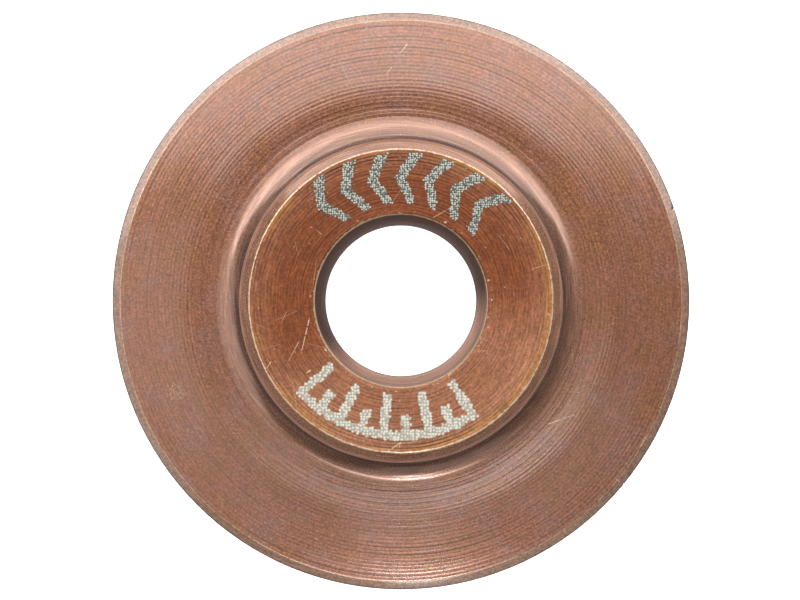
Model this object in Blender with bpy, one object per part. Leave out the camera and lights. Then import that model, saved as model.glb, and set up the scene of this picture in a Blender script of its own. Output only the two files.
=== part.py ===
"""Cutting wheel of a pipe cutter, turned from one piece of steel.

The wheel is one body of revolution about Z, with its cutting edge in the plane Z = 0 and the
same form on both sides of it: a long plain hub with a bore for the cutter's pin, a fillet into
a thin disc, a flat band, a crowned flank that tapers outwards, and a narrow bevel that comes to
the cutting edge.

Sizes are in millimetres. Blender's own lengths are in metres.
"""

import math

import bmesh
import bpy

MM = 0.001

# The hub and its bore
BORE_DIAMETER = 8.9
BORE_CHAMFER = 0.1
HUB_DIAMETER = 16.8
HUB_WIDTH = 18.0
HUB_CHAMFER_WIDTH = 0.55
HUB_CHAMFER_DEPTH = 0.4

# The disc, from the hub outwards
DISC_THICKNESS = 0.9
FILLET_RADIUS = 1.75
BAND_WIDTH = 1.6
FLANK_CROWN = 0.035

# The cutting edge
WHEEL_DIAMETER = 32.0
BEVEL_WIDTH = 0.45
BEVEL_HALF_ANGLE = math.radians(15)
EDGE_LAND = 0.04

# How finely the round forms are divided
TURN_STEPS = 96
FILLET_STEPS = 12
FLANK_STEPS = 6

SHARP_ANGLE = math.radians(8)
STEEL_COLOUR = (0.36, 0.18, 0.11, 1.0)
STEEL_ROUGHNESS = 0.38


def clear_scene():
    for thing in list(bpy.data.objects):
        bpy.data.objects.remove(thing)


def fillet_points(wall_radius, disc_top, wall_top):
    """The quarter round from the hub's wall down onto the disc, wall end first."""
    round_radius = min(FILLET_RADIUS, wall_top - disc_top)
    centre_radius = wall_radius + round_radius
    centre_height = disc_top + round_radius
    points = []
    for step in range(FILLET_STEPS + 1):
        turn = math.pi / 2 * step / FILLET_STEPS
        radius = centre_radius - round_radius * math.cos(turn)
        height = centre_height - round_radius * math.sin(turn)
        points.append((radius, height))
    return points


def crowned_points(start, end):
    """A shallow arc that rises FLANK_CROWN above the straight line from start to end."""
    along = (end[0] - start[0], end[1] - start[1])
    chord = math.hypot(*along)
    arc_radius = (chord**2 / 4 + FLANK_CROWN**2) / (2 * FLANK_CROWN)
    half_turn = math.asin(chord / 2 / arc_radius)
    middle = ((start[0] + end[0]) / 2, (start[1] + end[1]) / 2)
    outward = (-along[1] / chord, along[0] / chord)
    to_centre = arc_radius - FLANK_CROWN
    centre = (middle[0] - outward[0] * to_centre, middle[1] - outward[1] * to_centre)
    points = []
    for step in range(FLANK_STEPS + 1):
        turn = half_turn * (2 * step / FLANK_STEPS - 1)
        across = arc_radius * math.sin(turn)
        up = arc_radius * math.cos(turn)
        radius = centre[0] + along[0] / chord * across + outward[0] * up
        height = centre[1] + along[1] / chord * across + outward[1] * up
        points.append((radius, height))
    return points


def upper_outline():
    """The section above the cutting plane as (radius, height), from the bore to the edge."""
    bore_radius = BORE_DIAMETER / 2
    hub_radius = HUB_DIAMETER / 2
    wheel_radius = WHEEL_DIAMETER / 2
    face_height = HUB_WIDTH / 2
    disc_top = DISC_THICKNESS / 2
    wall_top = face_height - HUB_CHAMFER_DEPTH

    bore = [
        (bore_radius, face_height - BORE_CHAMFER),
        (bore_radius + BORE_CHAMFER, face_height),
    ]
    rim = [(hub_radius - HUB_CHAMFER_WIDTH, face_height), (hub_radius, wall_top)]
    fillet = fillet_points(hub_radius, disc_top, wall_top)

    band_end = (fillet[-1][0] + BAND_WIDTH, disc_top)
    land_height = EDGE_LAND / 2
    bevel_height = land_height + BEVEL_WIDTH * math.tan(BEVEL_HALF_ANGLE)
    flank = crowned_points(band_end, (wheel_radius - BEVEL_WIDTH, bevel_height))
    edge = [(wheel_radius, land_height)]
    return bore + rim + fillet + flank + edge


def turned_mesh(name, outline):
    """A mesh spun one full turn about Z from a closed outline of (radius, height)."""
    shape = bmesh.new()
    corners = [shape.verts.new((radius * MM, 0, height * MM)) for radius, height in outline]
    rims = [shape.edges.new(pair) for pair in zip(corners, corners[1:] + corners[:1])]
    bmesh.ops.spin(
        shape,
        geom=corners + rims,
        cent=(0, 0, 0),
        axis=(0, 0, 1),
        angle=math.tau,
        steps=TURN_STEPS,
        use_merge=True,
    )
    bmesh.ops.recalc_face_normals(shape, faces=shape.faces)
    mesh = bpy.data.meshes.new(name)
    shape.to_mesh(mesh)
    shape.free()
    mesh.shade_smooth()
    mesh.set_sharp_from_angle(angle=SHARP_ANGLE)
    return mesh


def browned_steel():
    """Hardened tool steel with a thin bronze-brown finish."""
    material = bpy.data.materials.new("browned_steel")
    material.use_nodes = True
    shader = material.node_tree.nodes["Principled BSDF"]
    shader.inputs["Base Color"].default_value = STEEL_COLOUR
    shader.inputs["Metallic"].default_value = 1.0
    shader.inputs["Roughness"].default_value = STEEL_ROUGHNESS
    return material


def make_cutter_wheel():
    upper = upper_outline()
    lower = [(radius, -height) for radius, height in reversed(upper)]
    mesh = turned_mesh("cutter_wheel", upper + lower)
    mesh.materials.append(browned_steel())
    wheel = bpy.data.objects.new("cutter_wheel", mesh)
    bpy.context.scene.collection.objects.link(wheel)
    return wheel


clear_scene()
make_cutter_wheel()
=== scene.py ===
"""The looks of a pipe cutter's cutting wheel: browned steel with real turning marks, worn corners,
fine scratches, nicks in the cutting edge, and stippled marks on one hub face. The camera looks
straight down on that face.

Sizes are in millimetres, and directions in degrees from +X towards +Y, unless a name or a comment
says otherwise. Blender's own lengths are in metres.
"""

import math
import random
from typing import NamedTuple

import bpy
import numpy as np
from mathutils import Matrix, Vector


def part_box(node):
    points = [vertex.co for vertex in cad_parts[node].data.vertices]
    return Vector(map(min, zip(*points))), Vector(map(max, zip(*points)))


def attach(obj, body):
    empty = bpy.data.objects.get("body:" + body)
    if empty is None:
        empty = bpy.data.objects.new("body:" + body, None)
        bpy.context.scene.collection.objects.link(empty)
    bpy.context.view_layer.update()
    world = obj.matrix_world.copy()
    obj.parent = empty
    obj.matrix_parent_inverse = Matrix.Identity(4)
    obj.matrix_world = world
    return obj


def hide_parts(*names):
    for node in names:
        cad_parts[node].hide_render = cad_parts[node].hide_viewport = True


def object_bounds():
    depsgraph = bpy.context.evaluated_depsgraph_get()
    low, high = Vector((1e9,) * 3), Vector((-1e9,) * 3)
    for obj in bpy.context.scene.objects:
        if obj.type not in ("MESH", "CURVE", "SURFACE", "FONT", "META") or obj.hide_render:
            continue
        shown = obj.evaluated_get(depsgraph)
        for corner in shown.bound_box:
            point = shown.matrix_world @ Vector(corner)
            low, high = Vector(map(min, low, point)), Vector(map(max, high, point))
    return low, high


MM = 0.001
NODE = "cutter_wheel"

# Sizes of the wheel's section that the CAD box doesn't give
BORE_RADIUS = 4.45
BORE_CHAMFER = 0.1
HUB_RADIUS = 8.4
HUB_CHAMFER_WIDTH = 0.55
HUB_CHAMFER_DEPTH = 0.4
DISC_HALF = 0.45
FILLET_RADIUS = 1.75
BAND_WIDTH = 1.6
FLANK_CROWN = 0.015
BEVEL_WIDTH = 0.45
BEVEL_HALF_ANGLE = math.radians(15)
EDGE_LAND = 0.04

# What follows from them: the radii of the face and of the fillet's foot, and the bevel's height
FACE_END = HUB_RADIUS - HUB_CHAMFER_WIDTH
FILLET_END = HUB_RADIUS + FILLET_RADIUS
BEVEL_HEIGHT = EDGE_LAND / 2 + BEVEL_WIDTH * math.tan(BEVEL_HALF_ANGLE)

# How far from each corner its rounding starts
FACE_RIM_ROUND = 0.07
HUB_CORNER_ROUND = 0.20
BAND_ROUND = 0.5
BEVEL_ROUND = 0.09
EDGE_ROUND = 0.06
ROUND_STEPS = 4
BEVEL_STEPS = 3


class Marks(NamedTuple):
    """Turning marks side by side: their width and depth, where the points lie that draw one of
    them, as shares of its width, and how clear the dark line is where two of them meet."""

    feed: float
    depth: float
    shares: tuple
    contrast: float


FINE_SHARES = (0, 0.22, 0.5, 0.78)
COARSE_SHARES = (0, 0.3, 0.7)
PLAIN_SHARES = (0, 0.5)
BORE_MARKS = Marks(0.45, 0.0040, PLAIN_SHARES, 0.5)
FACE_MARKS = Marks(0.17, 0.0040, COARSE_SHARES, 1.2)
CHAMFER_MARKS = Marks(0.13, 0.0040, PLAIN_SHARES, 0.3)
WALL_MARKS = Marks(0.30, 0.0035, PLAIN_SHARES, 0.3)
FILLET_MARKS = Marks(0.14, 0.0, (0,), 0.0)
DEEP_MARKS = Marks(0.20, 0.0065, FINE_SHARES, 1.3)
BAND_MARKS = Marks(0.20, 0.0040, FINE_SHARES, 1.0)
FLANK_MARKS = Marks(0.20, 0.0024, FINE_SHARES, 1.25)
# How far from the fillet the marks on the band are deeper
DEEP_BAND = 0.6

# How one mark differs from the next, as shares of its depth, of its line's tone and of its width
DEPTH_SPREAD = (0.75, 1.25)
TONE_SPREAD = (0.25, 1.0)
SHIFT_SPREAD = (-0.1, 0.1)
# How much a mark's depth and its line's tone change on the way round
DEPTH_WAVE = 0.35
TONE_WAVE = 0.45
WAVE_COUNTS = (2, 9)
WAVE_SEED = 5

# How clear the lines between the marks are all round, and how much clearer they get around
# CLEAR_MIDDLE, at the top, and at the bottom, towards the lamps: painted shade in the lines
CLEAR_ALL_ROUND = 0.55
TOP_LINE_SHADE = 0.95
CLEAR_MIDDLE = 95
BOTTOM_LINE_SHADE = 0.85

COLUMNS = 128
# Notches in the cutting edge: direction, depth and half-width
NOTCHES = [(18.6, 0.085, 0.04), (272.6, 0.03, 0.05), (320.6, 0.04, 0.06)]
# The share of the bevel's width that a notch pulls inwards
NOTCHED_SHARE = 0.4

# Sectors of the wheel, as the direction of the middle and the half-width: where the face's rim is
# rubbed wider as a painted highlight towards the south lamps, where the face is painted paler as
# painted light from the south lamps, where its rim is ochre, where the bore's rim is chipped, and
# where the bore's wall is painted pale as painted light from the north lamps
RIM_HIGHLIGHT = (285, 60)
LIT_FACE = (285, 90)
OCHRE = (325, 70)
CHIPPED = (160, 75)
LIT_BORE_WALL = (288, 85)

# How far from the section's corners the finish is rubbed off, and how much further in the sectors.
# The wider rub at the face's rim towards the south lamps is a painted highlight.
WORN_FACE_RIM = 0.045
RIM_HIGHLIGHT_MORE = 0.02
WORN_BORE_RIM = 0.035
CHIPPED_MORE = 0.05
WORN_BEVEL = 0.015
BURR_REACH = 0.22

# The ring of painted shade in the hollow at the hub's foot gets grey between these distances from
# the hub's wall, first faintly and then in full
FOOT_SHADE_FAINT = (1.30, 0.90)
FOOT_SHADE_FULL = (0.95, 0.55)

# Where the face's ochre rim starts and is full, measured inwards from the rim
OCHRE_RIM = (0.6, 0.15)
# The radii between which the face gets paler outwards
PALER_FACE = (6.0, 7.7)
# Where the cutting edge starts to be grey and is so in full, measured inwards from the edge
GREY_EDGE = (0.10, 0.02)

# The bore's colour changes towards its ends, between these heights, to this share of its
# brightness: painted shade that evens out the lamps' light along the bore. The near end's share is
# less by NEAR_END_LESS on the wall painted pale, as painted shade against the lamps' light there.
BORE_FAR_END = (-9, -3)
FAR_END_SHARE = 0.40
BORE_FAR_RIM = (-8.6, -7.6)
FAR_RIM_SHARE = 0.15
BORE_NEAR_END = (-1, 8)
NEAR_END_SHARE = 1.08
NEAR_END_LESS = 0.75

# Fine straight scratches: the size of a cell, the share of the cells with one, its half-width,
# and the largest distance from its middle to its end as a share of the cell
HAIRLINE_CELL = 2.2
HAIRLINE_SHARE = 0.35
HAIRLINE_HALF_WIDTH = 0.022
HAIRLINE_REACH = 0.45
# How much thinner the other scratches are at their far ends
SCRATCH_TAPER = 0.5

# Bright sparks: how many spots lie along a millimetre, the share of them that stays dark, and
# where a spark starts and is full, as shares of a spot
SPARK_SCALE = 1.1
DARK_SPOTS = 0.7
SPARK_REACH = (0.045, 0.02)

# The pale scuff and the dark dents on the disc, as direction, radius and half-width
SCUFF = (201.7, 13.5, 0.75)
DENTS = [(81.1, 14.63, 0.11), (273.5, 15.26, 0.10), (139.0, 12.10, 0.06), (12.0, 13.30, 0.05)]

# The stippled marks on the front hub face: chevrons along the upper arc, and a graduated scale
# along the lower one. Lengths along the arcs are measured on the middle circle of the marks.
MARK_CIRCLE = 6.35
CHEVRONS_MIDDLE = 87
CHEVRON_COUNT = 7
CHEVRON_PITCH = 1.46
CHEVRON_HALF_HEIGHT = 1.32
CHEVRON_SLOPE = 0.55
CHEVRON_STROKE = 0.50
SCALE_MIDDLE = 262.5
SCALE_LONG_PITCH = 2.2
SCALE_LONG_STEPS = 4
SCALE_TICKS = 2
SCALE_OUTER = 7.20
SCALE_LONG_INNER = 4.85
SCALE_SHORT_INNER = 5.85
SCALE_STROKE = 0.48
# The distances between the beads that the chevrons and the scale are made of
FINE_BEADS = 0.115
COARSE_BEADS = 0.15
BEAD_RANDOMNESS = 0.6
# A bead's border, as shares of the distance between beads, and how much smaller some beads are
BEAD_BORDER = (0.30, 0.60)
SMALLER_BEADS = 0.14
# Which of the beads, sorted by a random number, are dull, and how much
DULL_BEADS = (0.60, 0.95)
DULL_SHARE = 0.75


class Scratch(NamedTuple):
    """A straight scratch from start to end, each given as direction and radius."""

    start: tuple
    end: tuple
    width: float
    strength: float


SCRATCHES = [
    Scratch((190.8, 4.81), (207.6, 5.81), 0.045, 0.9),
    Scratch((202.0, 5.70), (208.2, 6.59), 0.035, 0.6),
    Scratch((185.0, 5.91), (190.7, 6.30), 0.03, 0.4),
    Scratch((217.5, 5.89), (217.2, 6.16), 0.05, 1.0),
    Scratch((205.2, 7.44), (206.6, 7.73), 0.04, 0.8),
    Scratch((269.9, 7.31), (264.9, 7.82), 0.04, 0.9),
    Scratch((269.9, 7.31), (268.9, 7.71), 0.035, 0.8),
    Scratch((24.7, 6.22), (35.1, 6.07), 0.03, 0.4),
    Scratch((355.2, 7.63), (352.8, 7.88), 0.04, 0.7),
    Scratch((13.6, 6.91), (13.8, 6.93), 0.06, 1.0),
    Scratch((13.6, 6.93), (14.0, 7.84), 0.03, 0.6),
    Scratch((69.0, 4.60), (62.5, 5.35), 0.03, 0.7),
    Scratch((62.5, 5.35), (59.0, 5.99), 0.03, 0.6),
    Scratch((140.0, 5.37), (140.0, 5.73), 0.03, 0.5),
    Scratch((225.0, 7.64), (216.0, 6.92), 0.03, 0.5),
    Scratch((327.0, 4.75), (331.0, 5.32), 0.03, 0.5),
    Scratch((320.2, 10.63), (326.6, 11.44), 0.045, 0.9),
    Scratch((342.9, 9.96), (335.2, 9.76), 0.04, 0.6),
    Scratch((88.6, 14.20), (90.2, 13.70), 0.035, 0.8),
    Scratch((92.3, 12.92), (93.6, 12.56), 0.03, 0.7),
    Scratch((330.9, 15.51), (328.1, 15.51), 0.05, 0.9),
    Scratch((320.4, 15.51), (320.4, 15.80), 0.05, 0.8),
    Scratch((305.5, 15.54), (305.4, 15.84), 0.05, 0.8),
    Scratch((345.8, 15.48), (345.8, 15.56), 0.06, 0.9),
    Scratch((337.7, 15.52), (337.7, 15.60), 0.06, 0.9),
]

# The photograph's view, for an image 800 x 600
IMAGE_WIDTH, IMAGE_HEIGHT = 800, 600
WHEEL_CENTRE_PX = (400.9, 300.9)
CAMERA_ABOVE_FACE = 122.4
FOCAL_PX = 2370
SENSOR_WIDTH = 36.0

# Colours, as Blender's linear values
BORE_BROWN = (0.105, 0.042, 0.025, 1)
# Painted light: the colour of the bore's wall that faces the north lamps
BORE_PAINTED_LIGHT = (0.90, 0.545, 0.40, 1)
FACE_BROWN = (0.138, 0.038, 0.012, 1)
# Painted light on the face towards the south lamps
FACE_PAINTED_LIGHT = (0.260, 0.113, 0.061, 1)
HUB_BROWN = (0.244, 0.118, 0.073, 1)
DISC_BROWN = (0.194, 0.072, 0.036, 1)
ROSE_BROWN = (0.190, 0.079, 0.048, 1)
OCHRE_BROWN = (0.188, 0.071, 0.028, 1)
BEVEL_BROWN = (0.202, 0.115, 0.078, 1)
OCHRE_EDGE = (0.262, 0.116, 0.034, 1)
SPARK = (0.340, 0.288, 0.248, 1)
WORN_STEEL = (0.430, 0.305, 0.190, 1)
# Painted shade at the hub's foot, and the dark colour of the dents
DENT_AND_FOOT_SHADE_GREY = (0.060, 0.035, 0.030, 1)
EDGE_GREY = (0.080, 0.060, 0.050, 1)
SCRATCH_BROWN = (0.248, 0.136, 0.080, 1)
SCRATCH_PALE = (0.480, 0.340, 0.225, 1)
BEAD_SILVER = (0.360, 0.362, 0.310, 1)
BEAD_DARK = (0.045, 0.048, 0.040, 1)
BEAD_PALE = (0.470, 0.450, 0.390, 1)
BEAD_GREY = (0.240, 0.220, 0.175, 1)

# How strongly the colours that lie over others cover them
FOOT_SHADE_FAINT_SHARE = 0.5
OCHRE_SHARE = 0.65
FACE_PAINTED_LIGHT_SHARE = 0.65
PALER_SHARE = 0.35
SPARK_SHARE = 0.7
DENT_SHARE = 0.9
SCUFF_SHARE = 0.7
# How much darker the darkest line between two turning marks is
LINE_DEPTH = 0.45


class Mottle(NamedTuple):
    """A random pattern: its noise's scale and detail, the two levels of the noise between which
    the pattern rises, the values that it rises from and to, and the noise's roughness."""

    scale: float
    detail: float
    rise: tuple
    values: tuple = (0.0, 1.0)
    roughness: float = 0.5


# How much finer than the wheel's own measure the streaks are across the marks, and along them
STREAKS_ACROSS = 8
STREAKS_ALONG = 0.5
GRAIN_VALUES = (0.70, 1.34)
SPECKLE = Mottle(7.5, 2.0, (0.30, 0.72), GRAIN_VALUES, 0.6)
BRUSHED = Mottle(2.0, 3.0, (0.30, 0.70), GRAIN_VALUES, 0.6)
# The speckle and the brushed grain are weaker on the hub's face
FACE_SPECKLE_VALUES = (0.80, 1.22)
FACE_BRUSHED_VALUES = (0.82, 1.20)
STREAKS = Mottle(1.0, 2.0, (0.30, 0.70), (0.90, 1.12), 0.6)
RAGGED = Mottle(5.0, 3.0, (0.2, 0.8), (-0.8, 0.8), 0.7)
BURRS = Mottle(5.0, 2.0, (0.62, 0.72))
FOOT_SHADE_STREAKS = Mottle(0.9, 2.0, (0.35, 0.65), (0.45, 0.90))
OCHRE_TINT = Mottle(0.35, 1.0, (0.42, 0.60))
BORE_BANDS = Mottle(0.5, 2.0, (0.35, 0.65), (0.86, 1.12))
SCRATCH_GAPS = Mottle(7.0, 1.0, (0.36, 0.46))
SCUFF_STROKES = Mottle(12.0, 1.0, (0.56, 0.66))
UNEVEN_GLOSS = Mottle(9.0, 1.0, (0.35, 0.65), (-0.06, 0.06))
# The scale, detail and roughness of the noise that the disc's patches come from, and its levels
# between which they turn from ochre to brown and on to rose
PATCH_NOISE = (0.45, 2.0, 0.6)
OCHRE_TO_BROWN = (0.38, 0.50)
BROWN_TO_ROSE = (0.50, 0.64)

# How metallic, coated and rough the finish is
METALLIC = 0.4
COAT = 0.9
COAT_ROUGHNESS = 0.14
COAT_IOR = 1.5
SPECULAR_LEVEL = 0.2
HUB_ROUGH = 0.24
DISC_ROUGH = 0.26
FACE_ROUGH = 0.36
BEVEL_ROUGH = 0.42
BORE_ROUGH = 1.0
HUB_CORNER_ROUGH = 0.5
HUB_CORNER_REACH = 0.25
# How much smoother bare worn steel is than the finish, and how much less metallic
WORN_SMOOTHER = 0.16
WORN_PLAIN = 0.6

# Brightness of the room and of the floor, and sizes and distances in metres. The floor shines on
# the steel only from within BELOW_BORE of the wheel's axis.
PANEL_DISTANCE = 0.5
DIM_ROOM = 0.11
PALE_ROOM = 1.0
FLOOR_GLOW = 1.0
FLOOR_LIGHT = 2.0
BELOW_BORE = 0.007
FLOOR_HALF = 0.2
FLOOR_PALE = (0.85, 0.85, 0.85, 1)
FLOOR_ROUGH = 0.9


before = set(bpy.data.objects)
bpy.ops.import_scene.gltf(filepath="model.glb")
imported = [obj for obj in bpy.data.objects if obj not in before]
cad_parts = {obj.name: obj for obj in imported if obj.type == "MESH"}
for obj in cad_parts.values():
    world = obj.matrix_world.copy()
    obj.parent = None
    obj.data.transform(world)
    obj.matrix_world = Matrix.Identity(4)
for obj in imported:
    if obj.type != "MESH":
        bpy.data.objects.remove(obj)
cad_low, cad_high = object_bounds()
WHEEL_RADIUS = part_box(NODE)[1].x / MM
FACE_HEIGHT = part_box(NODE)[1].z / MM


# Paths that the section follows. Each gives a place and the way out of the steel for a share of
# its length from 0 to 1, and comes with that length.

def straight(start, end):
    along = (end[0] - start[0], end[1] - start[1])
    length = math.hypot(*along)
    out = (-along[1] / length, along[0] / length)

    def path(share):
        return (start[0] + along[0] * share, start[1] + along[1] * share), out

    return path, length


def arc(centre, radius, first, last, hollow):
    """An arc between two angles. The steel lies outside it where it is hollow."""
    side = -1 if hollow else 1

    def path(share):
        angle = first + (last - first) * share
        away = (math.cos(angle), math.sin(angle))
        place = (centre[0] + radius * away[0], centre[1] + radius * away[1])
        return place, (side * away[0], side * away[1])

    return path, radius * abs(last - first)


def rounded(start, corner, end):
    """A soft turn that leaves start towards the corner and reaches end from there."""

    def path(share):
        rest = 1 - share
        place = []
        along = []
        for a, b, c in zip(start, corner, end):
            place.append(rest**2 * a + 2 * rest * share * b + share**2 * c)
            along.append(rest * (b - a) + share * (c - b))
        length = math.hypot(*along)
        return tuple(place), (-along[1] / length, along[0] / length)

    return path, math.dist(start, corner) + math.dist(corner, end)


def towards(start, end, distance):
    share = distance / math.dist(start, end)
    return (start[0] + (end[0] - start[0]) * share, start[1] + (end[1] - start[1]) * share)


class Point(NamedTuple):
    """A point of the section. mark counts the turning marks, depth is how far this one lies below
    the path, and tone is how dark it is: more than 0 only on a line between two marks."""

    radius: float
    height: float
    out: tuple
    depth: float = 0.0
    tone: float = 0.0
    mark: int = 0


class Section:
    """Collects the upper half of the section, from the bore's middle to the cutting edge."""

    def __init__(self, seed):
        self.points = []
        self.draw = random.Random(seed)
        self.mark = 0

    def plain(self, path_and_length, steps, to_end=False):
        path, _ = path_and_length
        for step in range(steps + (1 if to_end else 0)):
            (radius, height), out = path(step / steps)
            self.points.append(Point(radius, height, out))

    def turned(self, path_and_length, marks):
        """Shallow rounded grooves side by side, as a turning tool leaves them."""
        path, length = path_and_length
        count = max(1, round(length / marks.feed))
        for groove in range(count):
            self.mark += 1
            deep = marks.depth * self.draw.uniform(*DEPTH_SPREAD)
            tone = marks.contrast * self.draw.uniform(*TONE_SPREAD)
            shift = self.draw.uniform(*SHIFT_SPREAD)
            for share in marks.shares:
                moved = groove + share + (shift if 0 < share else 0)
                (radius, height), out = path(moved / count)
                below = deep * (1 - (2 * share - 1) ** 2)
                line = tone if share == 0 else 0.0
                self.points.append(Point(radius, height, out, below, line, self.mark))


def crowned_flank(start, end):
    """The arc that rises FLANK_CROWN above the line between two points, less its rounded ends."""
    along = (end[0] - start[0], end[1] - start[1])
    chord = math.hypot(*along)
    radius = (chord**2 / 4 + FLANK_CROWN**2) / (2 * FLANK_CROWN)
    out = (-along[1] / chord, along[0] / chord)
    reach = radius - FLANK_CROWN
    centre = ((start[0] + end[0]) / 2 - out[0] * reach, (start[1] + end[1]) / 2 - out[1] * reach)
    first = math.atan2(start[1] - centre[1], start[0] - centre[0])
    last = math.atan2(end[1] - centre[1], end[0] - centre[0])
    first -= BAND_ROUND / radius
    last += BEVEL_ROUND / radius
    return arc(centre, radius, first, last, hollow=False)


def add_hub(section):
    """The bore, the hub's face with its worn rim, the chamfer and the wall."""
    bore_top = (BORE_RADIUS, FACE_HEIGHT - BORE_CHAMFER)
    rim_in = (BORE_RADIUS + BORE_CHAMFER, FACE_HEIGHT)
    rim_out = (FACE_END, FACE_HEIGHT)
    corner = (HUB_RADIUS, FACE_HEIGHT - HUB_CHAMFER_DEPTH)
    wall_foot = (HUB_RADIUS, DISC_HALF + FILLET_RADIUS)
    face_end = towards(rim_out, rim_in, FACE_RIM_ROUND)
    chamfer_start = towards(rim_out, corner, FACE_RIM_ROUND)
    chamfer_end = towards(corner, rim_out, HUB_CORNER_ROUND)
    wall_start = towards(corner, wall_foot, HUB_CORNER_ROUND)
    section.turned(straight((BORE_RADIUS, 0), bore_top), BORE_MARKS)
    section.plain(straight(bore_top, rim_in), ROUND_STEPS)
    section.turned(straight(rim_in, face_end), FACE_MARKS)
    section.plain(rounded(face_end, rim_out, chamfer_start), ROUND_STEPS)
    section.turned(straight(chamfer_start, chamfer_end), CHAMFER_MARKS)
    section.plain(rounded(chamfer_end, corner, wall_start), ROUND_STEPS)
    section.turned(straight(wall_start, wall_foot), WALL_MARKS)


def add_disc(section):
    """The fillet, the flat band, the crowned flank, the bevel and the cutting edge."""
    band_end = (FILLET_END + BAND_WIDTH, DISC_HALF)
    bevel_top = (WHEEL_RADIUS - BEVEL_WIDTH, BEVEL_HEIGHT)
    edge = (WHEEL_RADIUS, EDGE_LAND / 2)
    fillet_centre = (FILLET_END, DISC_HALF + FILLET_RADIUS)
    fillet = arc(fillet_centre, FILLET_RADIUS, math.pi, 1.5 * math.pi, hollow=True)
    flank = crowned_flank(band_end, bevel_top)
    section.turned(fillet, FILLET_MARKS)
    deep_end = (FILLET_END + DEEP_BAND, DISC_HALF)
    soft_start = (band_end[0] - BAND_ROUND, DISC_HALF)
    section.turned(straight((FILLET_END, DISC_HALF), deep_end), DEEP_MARKS)
    section.turned(straight(deep_end, soft_start), BAND_MARKS)
    section.turned(rounded(soft_start, band_end, flank[0](0)[0]), BAND_MARKS)
    section.turned(flank, FLANK_MARKS)

    bevel_start = towards(bevel_top, edge, BEVEL_ROUND)
    bevel_end = towards(edge, bevel_top, EDGE_ROUND)
    section.plain(rounded(flank[0](1)[0], bevel_top, bevel_start), ROUND_STEPS)
    section.plain(straight(bevel_start, bevel_end), BEVEL_STEPS)
    section.plain(rounded(bevel_end, edge, (WHEEL_RADIUS, 0)), ROUND_STEPS, to_end=True)


def upper_section(seed):
    section = Section(seed)
    add_hub(section)
    add_disc(section)
    return section.points


def column_angles():
    """Even steps round the wheel, with three more at each notch of the cutting edge."""
    angles = [math.tau * step / COLUMNS for step in range(COLUMNS)]
    for direction, _, half_width in NOTCHES:
        middle = math.radians(direction)
        half = half_width / WHEEL_RADIUS
        angles += [middle - half, middle, middle + half]
    return np.array(sorted(angles))


def line_clearness_and_shade(angles):
    """How clear the lines between the turning marks are in every column, clearer towards the
    lamps at the top and the bottom as painted shade.
    """
    top = np.clip(np.cos(angles - math.radians(CLEAR_MIDDLE)), 0, 1)
    bottom = np.clip(-np.sin(angles), 0, 1) ** 4
    return CLEAR_ALL_ROUND + TOP_LINE_SHADE * top + BOTTOM_LINE_SHADE * bottom


def section_rings(angles):
    """Radius, height and tone of every point of the section in every column, as grids."""
    upper = upper_section(seed=11)
    lower = [
        point._replace(height=-point.height, out=(point.out[0], -point.out[1]))
        for point in upper_section(seed=12)
    ]
    # The two halves share the cutting edge and the point in the middle of the bore.
    points = upper + lower[::-1][1:-1]
    draw = random.Random(WAVE_SEED)
    # Clearer towards the lamps at the top and the bottom: painted shade in the lines
    clear = line_clearness_and_shade(angles)
    waves = {}
    radii = np.empty((len(points), len(angles)))
    heights = np.empty_like(radii)
    tones = np.empty_like(radii)
    for row, point in enumerate(points):
        key = (point.height < 0, point.mark)
        if key not in waves:
            waves[key] = [
                (draw.randint(*WAVE_COUNTS), draw.uniform(0, math.tau)) for _ in range(3)
            ]
        unsteady = sum(np.sin(count * angles + phase) for count, phase in waves[key]) / 3
        depth = point.depth * (1 + DEPTH_WAVE * unsteady)
        radii[row] = point.radius - point.out[0] * depth
        heights[row] = point.height - point.out[1] * depth
        tones[row] = point.tone * clear * (1 - TONE_WAVE * unsteady)
    notch_edge(radii, angles)
    return radii, heights, tones


def notch_edge(radii, angles):
    """Pulls the cutting edge inwards at each notch."""
    reach = BEVEL_WIDTH * NOTCHED_SHARE
    outer = np.clip((radii - (WHEEL_RADIUS - reach)) / reach, 0, 1)
    for direction, depth, half_width in NOTCHES:
        away = np.abs(angles - math.radians(direction)) * WHEEL_RADIUS
        # A notch ends just before the columns on either side of its middle.
        radii -= outer * depth * np.clip(1 - away / (half_width * 0.9), 0, 1)


def make_wheel():
    angles = column_angles()
    radii, heights, tones = section_rings(angles)
    rows, columns = radii.shape
    places = np.stack([radii * np.cos(angles), radii * np.sin(angles), heights], axis=-1)
    index = np.arange(rows * columns).reshape(rows, columns)
    down = np.roll(index, -1, axis=0)
    round_on = np.roll(index, -1, axis=1)
    both = np.roll(down, -1, axis=1)
    faces = np.stack([index, round_on, both, down], axis=-1).reshape(-1, 4)
    mesh = bpy.data.meshes.new("wheel")
    mesh.from_pydata((places.reshape(-1, 3) * MM).tolist(), [], faces.tolist())
    lines = mesh.attributes.new("line_tone_and_shade", "FLOAT", "POINT")
    lines.data.foreach_set("value", tones.ravel().astype(np.float32))
    mesh.shade_smooth()
    wheel = bpy.data.objects.new("wheel", mesh)
    bpy.context.scene.collection.objects.link(wheel)
    return wheel


# Materials

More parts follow.
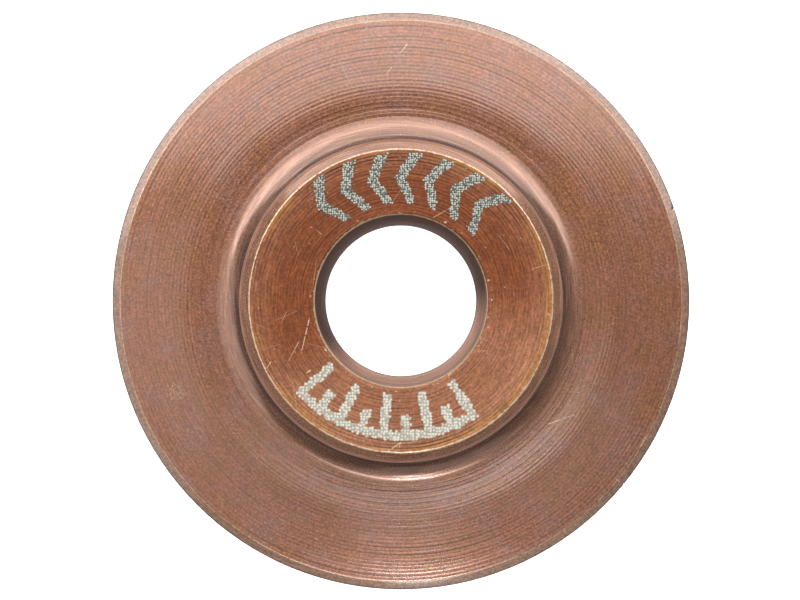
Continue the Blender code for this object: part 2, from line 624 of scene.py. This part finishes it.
class Nodes:
    """Short ways to add and join a material's nodes."""

    def __init__(self, material):
        material.use_nodes = True
        self.tree = material.node_tree
        self.shader = self.tree.nodes["Principled BSDF"]

    def put(self, socket, value):
        if isinstance(value, bpy.types.NodeSocket):
            self.tree.links.new(value, socket)
        else:
            socket.default_value = value

    def fill(self, node, *values):
        for socket, value in zip(node.inputs, values):
            self.put(socket, value)

    def math(self, operation, *values):
        node = self.tree.nodes.new("ShaderNodeMath")
        node.operation = operation
        self.fill(node, *values)
        return node.outputs[0]

    def vector(self, operation, *values):
        node = self.tree.nodes.new("ShaderNodeVectorMath")
        node.operation = operation
        self.fill(node, *values)
        return node.outputs[1 if operation in ("LENGTH", "DISTANCE", "DOT_PRODUCT") else 0]

    def scaled(self, vector, factor):
        """A vector times a number. It keeps fewer values waiting in the shader than a product."""
        scaled = self.vector("SCALE", vector)
        self.put(scaled.node.inputs["Scale"], factor)
        return scaled

    def parts(self, vector):
        node = self.tree.nodes.new("ShaderNodeSeparateXYZ")
        self.put(node.inputs[0], vector)
        return node.outputs

    def joined(self, x, y):
        """A vector in the plane of the wheel."""
        node = self.tree.nodes.new("ShaderNodeCombineXYZ")
        self.fill(node, x, y)
        return node.outputs[0]

    def ramp(self, value, low, high, to_low=0.0, to_high=1.0):
        """A smooth step of value from low to high."""
        node = self.tree.nodes.new("ShaderNodeMapRange")
        node.interpolation_type = "SMOOTHSTEP"
        self.fill(node, value, low, high, to_low, to_high)
        return node.outputs[0]

    def noise(self, place, scale, detail=2.0, roughness=0.5):
        node = self.tree.nodes.new("ShaderNodeTexNoise")
        self.put(node.inputs["Vector"], place)
        node.inputs["Scale"].default_value = scale
        node.inputs["Detail"].default_value = detail
        node.inputs["Roughness"].default_value = roughness
        return node.outputs["Fac"]

    def mottled(self, place, mottle):
        noise = self.noise(place, mottle.scale, mottle.detail, mottle.roughness)
        return self.ramp(noise, *mottle.rise, *mottle.values)

    def spots(self, place, scale, randomness=1.0):
        """Scattered spots: how far the nearest one is, its place and a random colour of its own."""
        node = self.tree.nodes.new("ShaderNodeTexVoronoi")
        node.voronoi_dimensions = "2D"
        self.put(node.inputs["Vector"], place)
        node.inputs["Scale"].default_value = scale
        node.inputs["Randomness"].default_value = randomness
        return node.outputs["Distance"], node.outputs["Position"], node.outputs["Color"]

    def blend(self, share, first, second):
        """Mixes two colours."""
        node = self.tree.nodes.new("ShaderNodeMix")
        node.data_type = "RGBA"
        colours = [socket for socket in node.inputs if socket.type == "RGBA"]
        self.put(node.inputs[0], share)
        self.put(colours[0], first)
        self.put(colours[1], second)
        return [socket for socket in node.outputs if socket.type == "RGBA"][0]

    def attribute(self, name):
        node = self.tree.nodes.new("ShaderNodeAttribute")
        node.attribute_name = name
        return node.outputs["Fac"]

    def any_of(self, shares):
        """The largest of several shares. A generator keeps fewer of them waiting in the shader."""
        shares = iter(shares)
        largest = next(shares)
        for share in shares:
            largest = self.math("MAXIMUM", largest, share)
        return largest

    def all_of(self, *shares):
        """Several shares multiplied."""
        product = shares[0]
        for share in shares[1:]:
            product = self.math("MULTIPLY", product, share)
        return product


def polar(direction, radius):
    """A place in the plane of the wheel."""
    turn = math.radians(direction)
    return (radius * math.cos(turn), radius * math.sin(turn), 0)


class Spot:
    """Where the shaded point lies on the wheel, in millimetres, and which zone it belongs to."""

    def __init__(self, n):
        coordinates = n.tree.nodes.new("ShaderNodeTexCoord").outputs["Object"]
        self.place = n.scaled(coordinates, 1 / MM)
        self.flat = n.vector("MULTIPLY", self.place, (1, 1, 0))
        self.radius = n.vector("LENGTH", self.flat)
        self.side = n.parts(self.place)[2]
        self.height = n.math("ABSOLUTE", self.side)
        self.front = n.math("GREATER_THAN", self.side, 0)
        # Stretched along the turning marks, so that noise on it comes out as streaks
        outwards = n.math("MULTIPLY", self.radius, STREAKS_ACROSS)
        rings = n.joined(outwards, n.math("MULTIPLY", self.side, STREAKS_ACROSS))
        along = n.vector("MULTIPLY", self.flat, (STREAKS_ALONG, STREAKS_ALONG, 0))
        self.streaked = n.vector("ADD", rings, along)
        # Zones, each with a narrow soft border
        self.bore = n.ramp(self.radius, BORE_RADIUS + 0.02, BORE_RADIUS + 0.01)
        self.outside = n.math("SUBTRACT", 1.0, self.bore)
        self.face = n.ramp(self.height, FACE_HEIGHT - 0.03, FACE_HEIGHT - 0.01)
        self.disc = n.ramp(self.radius, FILLET_END - 0.5, FILLET_END + 0.1)
        bevel_start = WHEEL_RADIUS - BEVEL_WIDTH
        self.bevel = n.ramp(self.radius, bevel_start - 0.02, bevel_start + 0.04)


def facing(n, at, sector):
    """1 in the middle of a sector of the wheel, and 0 outside it."""
    direction, half_width = sector
    cosine = n.math("DIVIDE", n.vector("DOT_PRODUCT", at.flat, polar(direction, 1)), at.radius)
    border = math.cos(math.radians(half_width))
    full = math.cos(math.radians(half_width / 2))
    return n.ramp(cosine, border, full)


def worn_corner(n, at, corner, reach, ragged):
    """1 on the steel within reach of a corner of the section, with a ragged border."""
    across = n.math("SUBTRACT", at.radius, corner[0])
    up = n.math("SUBTRACT", at.height, corner[1])
    away = n.vector("LENGTH", n.joined(across, up))
    away = n.math("ADD", n.math("DIVIDE", away, reach), ragged)
    return n.ramp(away, 1.0, 0.6)


def worn_share(n, at):
    """Where the finish is rubbed off: the rims of the face and the corner of the bevel. The face's
    rim is rubbed wider towards the south lamps as a painted highlight.
    """
    ragged = n.mottled(at.place, RAGGED)
    bore_rim = n.math("MULTIPLY_ADD", facing(n, at, CHIPPED), CHIPPED_MORE, WORN_BORE_RIM)
    # Wider towards the south lamps: a painted highlight on the face's rim
    face_rim = n.math("MULTIPLY_ADD", facing(n, at, RIM_HIGHLIGHT), RIM_HIGHLIGHT_MORE, WORN_FACE_RIM)
    # The bore's rim is worn most on its chamfer, nearer to the bore than to the face.
    corners = (
        ((FACE_END, FACE_HEIGHT), face_rim),
        ((BORE_RADIUS + BORE_CHAMFER * 0.3, FACE_HEIGHT - BORE_CHAMFER * 0.7), bore_rim),
        ((WHEEL_RADIUS - BEVEL_WIDTH, BEVEL_HEIGHT), WORN_BEVEL),
    )
    worn = n.any_of(worn_corner(n, at, corner, reach, ragged) for corner, reach in corners)
    near_bore = worn_corner(n, at, (BORE_RADIUS + BORE_CHAMFER, FACE_HEIGHT), BURR_REACH, 0.0)
    burrs = n.math("MULTIPLY", near_bore, n.mottled(at.place, BURRS))
    return n.math("MAXIMUM", worn, burrs)


def disc_colour(n, at):
    """Patches of ochre, brown and rose."""
    patches = n.noise(at.place, *PATCH_NOISE)
    colour = n.blend(n.ramp(patches, *OCHRE_TO_BROWN), OCHRE_BROWN, DISC_BROWN)
    return n.blend(n.ramp(patches, *BROWN_TO_ROSE), colour, ROSE_BROWN)


def foot_shade_share(n, at):
    """The strength of the streaky grey ring at the hub's foot: painted shade in the fillet's
    hollow.
    """
    below = n.math("LESS_THAN", at.height, FACE_HEIGHT - 2 * HUB_CHAMFER_DEPTH)
    outer, inner = (HUB_RADIUS + distance for distance in FOOT_SHADE_FAINT)
    faint = n.ramp(at.radius, outer, inner, 0.0, FOOT_SHADE_FAINT_SHARE)
    outer, inner = (HUB_RADIUS + distance for distance in FOOT_SHADE_FULL)
    ring = n.math("MAXIMUM", faint, n.ramp(at.radius, outer, inner))
    return n.all_of(ring, below, n.mottled(at.streaked, FOOT_SHADE_STREAKS))


def face_colour(n, at):
    """Brown, paler outwards and painted paler towards the south lamps as painted light, with a
    rim that is ochre in places.
    """
    rim = n.ramp(at.radius, *(FACE_END - distance for distance in OCHRE_RIM))
    tinted = n.mottled(at.place, OCHRE_TINT)
    tinted = n.math("MAXIMUM", tinted, facing(n, at, OCHRE))
    # Painted light: the face is paler towards the south lamps.
    paler = n.math("MULTIPLY", facing(n, at, LIT_FACE), FACE_PAINTED_LIGHT_SHARE)
    paler = n.math("ADD", paler, n.ramp(at.radius, *PALER_FACE, 0.0, PALER_SHARE))
    colour = n.blend(paler, FACE_BROWN, FACE_PAINTED_LIGHT)
    return n.blend(n.all_of(rim, tinted, OCHRE_SHARE), colour, OCHRE_EDGE)


def bore_colour(n, at):
    """Dark brown, painted pale as painted light on the wall that the north lamps light, with
    painted shade towards its ends, in rings that differ a little.
    """
    # Painted light: the wall that faces the north lamps is painted pale.
    lit_wall = facing(n, at, LIT_BORE_WALL)
    colour = n.blend(lit_wall, BORE_BROWN, BORE_PAINTED_LIGHT)
    # Painted shade towards the bore's ends, to even out the lamps' light along it
    far_end = n.ramp(at.side, *BORE_FAR_END, FAR_END_SHARE, 1.0)
    near_share = n.math("MULTIPLY_ADD", lit_wall, -NEAR_END_LESS, NEAR_END_SHARE)
    near_end = n.ramp(at.side, *BORE_NEAR_END, 1.0, near_share)
    far_rim = n.ramp(at.side, *BORE_FAR_RIM, FAR_RIM_SHARE, 1.0)
    bands = n.mottled(n.joined(at.side, 0.0), BORE_BANDS)
    return n.scaled(colour, n.all_of(far_end, near_end, far_rim, bands))


def zone_colour(n, at):
    """The colour of the finish in every zone, before its grain, with painted shade at the hub's
    foot and painted light and shade in the bore.
    """
    colour = n.blend(at.disc, HUB_BROWN, disc_colour(n, at))
    colour = n.blend(at.bevel, colour, BEVEL_BROWN)
    # Painted shade in the hollow at the hub's foot
    colour = n.blend(foot_shade_share(n, at), colour, DENT_AND_FOOT_SHADE_GREY)
    colour = n.blend(at.face, colour, face_colour(n, at))
    edge = n.ramp(at.radius, *(WHEEL_RADIUS - distance for distance in GREY_EDGE))
    colour = n.blend(edge, colour, EDGE_GREY)
    return n.blend(at.bore, colour, bore_colour(n, at))


def grained(n, at, colour):
    """Adds the fine speckle, the lines between turning marks with their painted shade towards the
    lamps, and a few bright sparks.
    """
    speckle = n.mottled(at.place, SPECKLE)
    brushed = n.mottled(at.streaked, BRUSHED)
    line = n.math("MULTIPLY_ADD", n.attribute("line_tone_and_shade"), -LINE_DEPTH, 1.0)
    streak = n.mottled(at.streaked, STREAKS)
    face_speckle = n.ramp(speckle, *GRAIN_VALUES, *FACE_SPECKLE_VALUES)
    face_brushed = n.ramp(brushed, *GRAIN_VALUES, *FACE_BRUSHED_VALUES)
    face_grain = n.math("MULTIPLY", face_speckle, face_brushed)
    grain = n.blend(at.disc, brushed, speckle)
    grain = n.blend(at.face, grain, face_grain)
    colour = n.vector("MULTIPLY", colour, grain)
    colour = n.vector("MULTIPLY", colour, n.math("MULTIPLY", line, streak))
    distance, _, tone = n.spots(at.flat, SPARK_SCALE)
    chosen = n.math("GREATER_THAN", n.parts(tone)[0], DARK_SPOTS)
    sparks = n.all_of(n.ramp(distance, *SPARK_REACH), chosen, at.outside, SPARK_SHARE)
    return n.blend(sparks, colour, SPARK)


def straight_scratch(n, at, scratch):
    """The strength of one scratch, which is thinnest at its far end."""
    start = polar(*scratch.start)
    end = polar(*scratch.end)
    run = (end[0] - start[0], end[1] - start[1], 0)
    reach = n.vector("SUBTRACT", at.flat, start)
    share = n.math("DIVIDE", n.vector("DOT_PRODUCT", reach, run), run[0] ** 2 + run[1] ** 2)
    share.node.use_clamp = True
    away = n.vector("DISTANCE", reach, n.scaled(run, share))
    width = n.math("MULTIPLY_ADD", share, -SCRATCH_TAPER * scratch.width, scratch.width)
    line = n.ramp(n.math("DIVIDE", away, width), 1.0, 0.3)
    return n.math("MULTIPLY", line, scratch.strength)


def scratch_share(n, at):
    """The strength of all the straight scratches, with small gaps."""
    lines = n.any_of(straight_scratch(n, at, scratch) for scratch in SCRATCHES)
    worn_through = n.mottled(at.flat, SCRATCH_GAPS)
    return n.all_of(lines, worn_through, at.front)


def hairlines(n, at):
    """Fine straight scratches, at most one to a cell and each in a direction of its own."""
    _, centre, tone = n.spots(at.flat, 1 / HAIRLINE_CELL)
    tones = n.parts(tone)
    turn = n.math("MULTIPLY", tones[0], math.tau)
    cosine, sine = n.math("COSINE", turn), n.math("SINE", turn)
    reach = n.vector("SUBTRACT", at.flat, centre)
    across = n.math("ABSOLUTE", n.vector("DOT_PRODUCT", reach, n.joined(cosine, sine)))
    away = n.vector("LENGTH", reach)
    length = n.math("MULTIPLY", tones[1], HAIRLINE_REACH * HAIRLINE_CELL)
    line = n.ramp(across, HAIRLINE_HALF_WIDTH, 0.0)
    line = n.math("MULTIPLY", line, n.math("LESS_THAN", away, length))
    line = n.math("MULTIPLY", line, n.math("LESS_THAN", tones[2], HAIRLINE_SHARE))
    return n.math("MULTIPLY", line, at.outside)


def spot_share(n, at, direction, radius, half_width):
    away = n.vector("DISTANCE", at.flat, polar(direction, radius))
    return n.ramp(away, half_width, half_width * 0.4)


def dented(n, at, colour):
    """Adds the dark dents, and the scuff made of short pale strokes."""
    dents = n.any_of(spot_share(n, at, *dent) for dent in DENTS)
    colour = n.blend(n.all_of(dents, at.front, DENT_SHARE), colour, DENT_AND_FOOT_SHADE_GREY)
    strokes = n.mottled(at.flat, SCUFF_STROKES)
    scuffed = n.all_of(spot_share(n, at, *SCUFF), strokes, at.front, SCUFF_SHARE)
    return n.blend(scuffed, colour, SCRATCH_PALE)


def along_arc(n, place, direction):
    """Millimetres along the circle in the middle of the face, from a direction, and radius."""
    turn = math.radians(direction)
    ahead = n.vector("DOT_PRODUCT", place, (math.cos(turn), math.sin(turn), 0))
    aside = n.vector("DOT_PRODUCT", place, (-math.sin(turn), math.cos(turn), 0))
    angle = n.math("ARCTAN2", aside, ahead)
    return n.math("MULTIPLY", angle, MARK_CIRCLE), n.vector("LENGTH", place)


def from_middle(n, along, pitch):
    """How far a place along a row of equal steps is from the middle of its own step."""
    steps = n.math("ADD", n.math("DIVIDE", along, pitch), 0.5)
    off = n.math("SUBTRACT", n.math("FRACT", steps), 0.5)
    return n.math("MULTIPLY", off, pitch)


def within(n, value, low, high):
    return n.math("MULTIPLY", n.math("GREATER_THAN", value, low), n.math("LESS_THAN", value, high))


def chevron_row(n, place):
    """Chevrons side by side along the upper arc of the face, all pointing the same way."""
    along, radius = along_arc(n, place, CHEVRONS_MIDDLE)
    half_row = CHEVRON_COUNT * CHEVRON_PITCH / 2
    shifted = n.math("ADD", along, 0.0 if CHEVRON_COUNT % 2 else CHEVRON_PITCH / 2)
    local = from_middle(n, shifted, CHEVRON_PITCH)
    side = n.math("ABSOLUTE", n.math("SUBTRACT", radius, MARK_CIRCLE))
    slanted = n.math("MULTIPLY_ADD", side, CHEVRON_SLOPE, local)
    middle = CHEVRON_SLOPE * CHEVRON_HALF_HEIGHT / 2
    across = n.math("ABSOLUTE", n.math("SUBTRACT", slanted, middle))
    stroke = n.math("LESS_THAN", across, CHEVRON_STROKE / 2 * math.hypot(1, CHEVRON_SLOPE))
    inside = n.math("LESS_THAN", side, CHEVRON_HALF_HEIGHT)
    inside = n.math("MULTIPLY", inside, within(n, along, -half_row, half_row))
    return n.math("MULTIPLY", stroke, inside)


def scale_marks(n, place):
    """A graduated scale along the lower arc of the face: an arc line with short and long ticks."""
    along, radius = along_arc(n, place, SCALE_MIDDLE)
    half_row = SCALE_LONG_PITCH * SCALE_LONG_STEPS / 2
    half_stroke = SCALE_STROKE / 2
    inside = within(n, along, -half_row - half_stroke, half_row + half_stroke)
    line = within(n, radius, SCALE_OUTER - SCALE_STROKE, SCALE_OUTER)
    ticks = []
    rows = (
        (SCALE_LONG_PITCH, SCALE_LONG_INNER),
        (SCALE_LONG_PITCH / SCALE_TICKS, SCALE_SHORT_INNER),
    )
    for pitch, inner in rows:
        off = n.math("ABSOLUTE", from_middle(n, n.math("ADD", along, half_row), pitch))
        # A tick is as wide at its inner end as at its outer one, although the arc is shorter there.
        wide = n.math("DIVIDE", half_stroke * MARK_CIRCLE, radius)
        tick = n.math("LESS_THAN", off, wide)
        ticks.append(n.math("MULTIPLY", tick, within(n, radius, inner, SCALE_OUTER)))
    return n.math("MULTIPLY", n.any_of([line, *ticks]), inside)


def stippled(n, at, colour, shape, spacing, bead_colour, gap_colour):
    """Marks made of fine beads: a bead is there as a whole where its middle lies in the shape."""
    distance, middle, tone = n.spots(at.flat, 1 / spacing, BEAD_RANDOMNESS)
    marked = n.all_of(shape(n, middle), at.face, at.front)
    tones = n.parts(tone)
    uneven = n.math("ADD", distance, n.math("MULTIPLY", tones[0], SMALLER_BEADS))
    bead = n.blend(n.ramp(uneven, *BEAD_BORDER), bead_colour, gap_colour)
    bead = n.blend(n.ramp(tones[1], *DULL_BEADS, 0.0, DULL_SHARE), bead, gap_colour)
    return n.blend(marked, colour, bead), marked


def set_gloss(n, at, worn, marks):
    """Sets how metallic, rough and coated the steel is."""
    plain = n.any_of([at.bore, marks, n.math("MULTIPLY", worn, WORN_PLAIN)])
    metal = n.ramp(plain, 0.0, 1.0, METALLIC, 0.0)
    n.put(n.shader.inputs["Metallic"], metal)

    rough = n.ramp(at.disc, 0.0, 1.0, HUB_ROUGH, DISC_ROUGH)
    corner = (HUB_RADIUS, FACE_HEIGHT - HUB_CHAMFER_DEPTH)
    hub_corner = worn_corner(n, at, corner, HUB_CORNER_REACH, 0.0)
    zones = (
        (at.face, FACE_ROUGH),
        (at.bevel, BEVEL_ROUGH),
        (at.bore, BORE_ROUGH),
        (hub_corner, HUB_CORNER_ROUGH),
    )
    for share, value in zones:
        rough = n.math("MAXIMUM", rough, n.math("MULTIPLY", share, value))
    uneven = n.mottled(at.place, UNEVEN_GLOSS)
    rough = n.math("ADD", rough, uneven)
    rough = n.math("ADD", rough, n.math("MULTIPLY", worn, -WORN_SMOOTHER))
    n.put(n.shader.inputs["Roughness"], rough)

    coat = n.ramp(n.any_of([at.face, at.bore, hub_corner]), 0.0, 1.0, COAT, 0.0)
    coat = n.math("MAXIMUM", coat, n.math("MULTIPLY", worn, COAT))
    n.put(n.shader.inputs["Coat Weight"], coat)
    n.shader.inputs["Coat Roughness"].default_value = COAT_ROUGHNESS
    n.shader.inputs["Coat IOR"].default_value = COAT_IOR
    n.shader.inputs["Specular IOR Level"].default_value = SPECULAR_LEVEL


def browned_steel():
    material = bpy.data.materials.new("browned_steel")
    n = Nodes(material)
    at = Spot(n)
    worn = worn_share(n, at)
    colour = grained(n, at, zone_colour(n, at))
    colour = n.blend(worn, colour, WORN_STEEL)
    colour = n.blend(hairlines(n, at), colour, SCRATCH_BROWN)
    colour = n.blend(scratch_share(n, at), colour, SCRATCH_PALE)
    colour = dented(n, at, colour)
    colour, fine_marks = stippled(n, at, colour, chevron_row, FINE_BEADS, BEAD_SILVER, BEAD_DARK)
    colour, coarse_marks = stippled(n, at, colour, scale_marks, COARSE_BEADS, BEAD_PALE, BEAD_GREY)
    marks = n.math("MAXIMUM", fine_marks, coarse_marks)
    n.put(n.shader.inputs["Base Color"], colour)
    set_gloss(n, at, worn, marks)
    return material


# The floor, the lights and the camera

def make_floor():
    half = FLOOR_HALF
    mesh = bpy.data.meshes.new("floor")
    corners = [(-half, -half), (half, -half), (half, half), (-half, half)]
    mesh.from_pydata([(x, y, cad_low.z) for x, y in corners], [], [(0, 1, 2, 3)])
    floor = bpy.data.objects.new("floor", mesh)
    bpy.context.scene.collection.objects.link(floor)
    material = bpy.data.materials.new("pale_floor")
    n = Nodes(material)
    n.shader.inputs["Base Color"].default_value = FLOOR_PALE
    n.shader.inputs["Roughness"].default_value = FLOOR_ROUGH
    n.shader.inputs["Specular IOR Level"].default_value = 0.0
    # The floor looks evenly pale. Only the part of it below the bore shines on the steel.
    n.shader.inputs["Emission Color"].default_value = (1, 1, 1, 1)
    rays = n.tree.nodes.new("ShaderNodeLightPath")
    shown = rays.outputs["Is Camera Ray"]
    coordinates = n.tree.nodes.new("ShaderNodeTexCoord").outputs["Object"]
    away = n.vector("LENGTH", n.vector("MULTIPLY", coordinates, (1, 1, 0)))
    below_bore = n.math("LESS_THAN", away, BELOW_BORE)
    light = n.all_of(n.math("SUBTRACT", 1.0, shown), below_bore, FLOOR_LIGHT)
    glow = n.math("MULTIPLY_ADD", shown, FLOOR_GLOW, light)
    n.put(n.shader.inputs["Emission Strength"], glow)
    mesh.materials.append(material)


class Panel(NamedTuple):
    """An evenly bright panel that faces the wheel. It lies in a direction, so many degrees from
    straight above, and its size is in metres."""

    name: str
    direction: float
    from_axis: float
    size: tuple
    brightness: float


PANELS = [
    Panel("north_panel", 90, 23.5, (0.84, 0.24), 4.0),
    Panel("north_upper", 90, 54, (1.05, 0.40), 2.8),
    Panel("north_wall", 90, 80, (1.80, 0.16), 0.5),
    Panel("south_lamp", 274, 23.8, (0.050, 0.030), 43.0),
    Panel("south_wide", 273, 24.5, (0.160, 0.035), 7.0),
    Panel("south_strip", 274, 34, (0.050, 0.050), 16.0),
    Panel("southwest_strip", 250, 27, (0.090, 0.044), 5.0),
    Panel("south_glow", 268, 6, (0.110, 0.050), 3.5),
    Panel("south_low", 270, 14.5, (0.070, 0.050), 1.8),
    Panel("southeast_glow", 305, 6, (0.070, 0.050), 3.5),
    Panel("southeast_low", 318, 15, (0.100, 0.080), 1.2),
    Panel("southwest_low", 225, 17, (0.100, 0.080), 1.3),
    Panel("east_low", 0, 18, (0.120, 0.100), 0.4),
    Panel("west_fill", 190, 45, (0.34, 0.40), 1.4),
    Panel("west_low", 185, 17, (0.12, 0.10), 1.6),
    Panel("northwest_fill", 140, 38, (0.20, 0.25), 0.8),
    Panel("south_fill", 285, 50, (0.34, 0.34), 0.6),
    Panel("east_fill", 0, 45, (0.34, 0.40), 0.1),
]


def light_panel(panel):
    light = bpy.data.lights.new(panel.name, "AREA")
    light.shape = "RECTANGLE"
    light.size, light.size_y = panel.size
    light.energy = panel.brightness * math.pi * panel.size[0] * panel.size[1]
    turn, lean = math.radians(panel.direction), math.radians(panel.from_axis)
    aside = math.sin(lean)
    away = Vector((aside * math.cos(turn), aside * math.sin(turn), math.cos(lean)))
    lamp = bpy.data.objects.new(panel.name, light)
    lamp.location = away * PANEL_DISTANCE
    lamp.rotation_euler = (-away).to_track_quat("-Z", "Y").to_euler()
    lamp.visible_camera = False
    bpy.context.scene.collection.objects.link(lamp)


def make_lights():
    for panel in PANELS:
        light_panel(panel)
    world = bpy.data.worlds.new("studio")
    world.use_nodes = True
    tree = world.node_tree
    background = tree.nodes["Background"]
    background.inputs["Strength"].default_value = 1.0
    # What the camera sees past the floor is pale, and what the steel reflects is a dim room.
    rays = tree.nodes.new("ShaderNodeLightPath")
    pick = tree.nodes.new("ShaderNodeMix")
    pick.data_type = "RGBA"
    colours = [socket for socket in pick.inputs if socket.type == "RGBA"]
    colours[0].default_value = (DIM_ROOM, DIM_ROOM, DIM_ROOM, 1)
    colours[1].default_value = (PALE_ROOM, PALE_ROOM, PALE_ROOM, 1)
    tree.links.new(rays.outputs["Is Camera Ray"], pick.inputs[0])
    picked = [socket for socket in pick.outputs if socket.type == "RGBA"][0]
    tree.links.new(picked, background.inputs["Color"])
    bpy.context.scene.world = world


def make_camera():
    data = bpy.data.cameras.new("camera")
    data.sensor_width = SENSOR_WIDTH
    data.lens = FOCAL_PX * SENSOR_WIDTH / IMAGE_WIDTH
    data.shift_x = (IMAGE_WIDTH / 2 - WHEEL_CENTRE_PX[0]) / IMAGE_WIDTH
    data.shift_y = (WHEEL_CENTRE_PX[1] - IMAGE_HEIGHT / 2) / IMAGE_WIDTH
    data.clip_start, data.clip_end = 0.01, 10.0
    camera = bpy.data.objects.new("camera", data)
    camera.location = (0, 0, (FACE_HEIGHT + CAMERA_ABOVE_FACE) * MM)
    bpy.context.scene.collection.objects.link(camera)
    bpy.context.scene.camera = camera


wheel = make_wheel()
wheel.data.materials.append(browned_steel())
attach(wheel, "root")
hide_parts(NODE)
make_floor()
make_lights()
make_camera()
bpy.context.scene.view_settings.view_transform = "Standard"
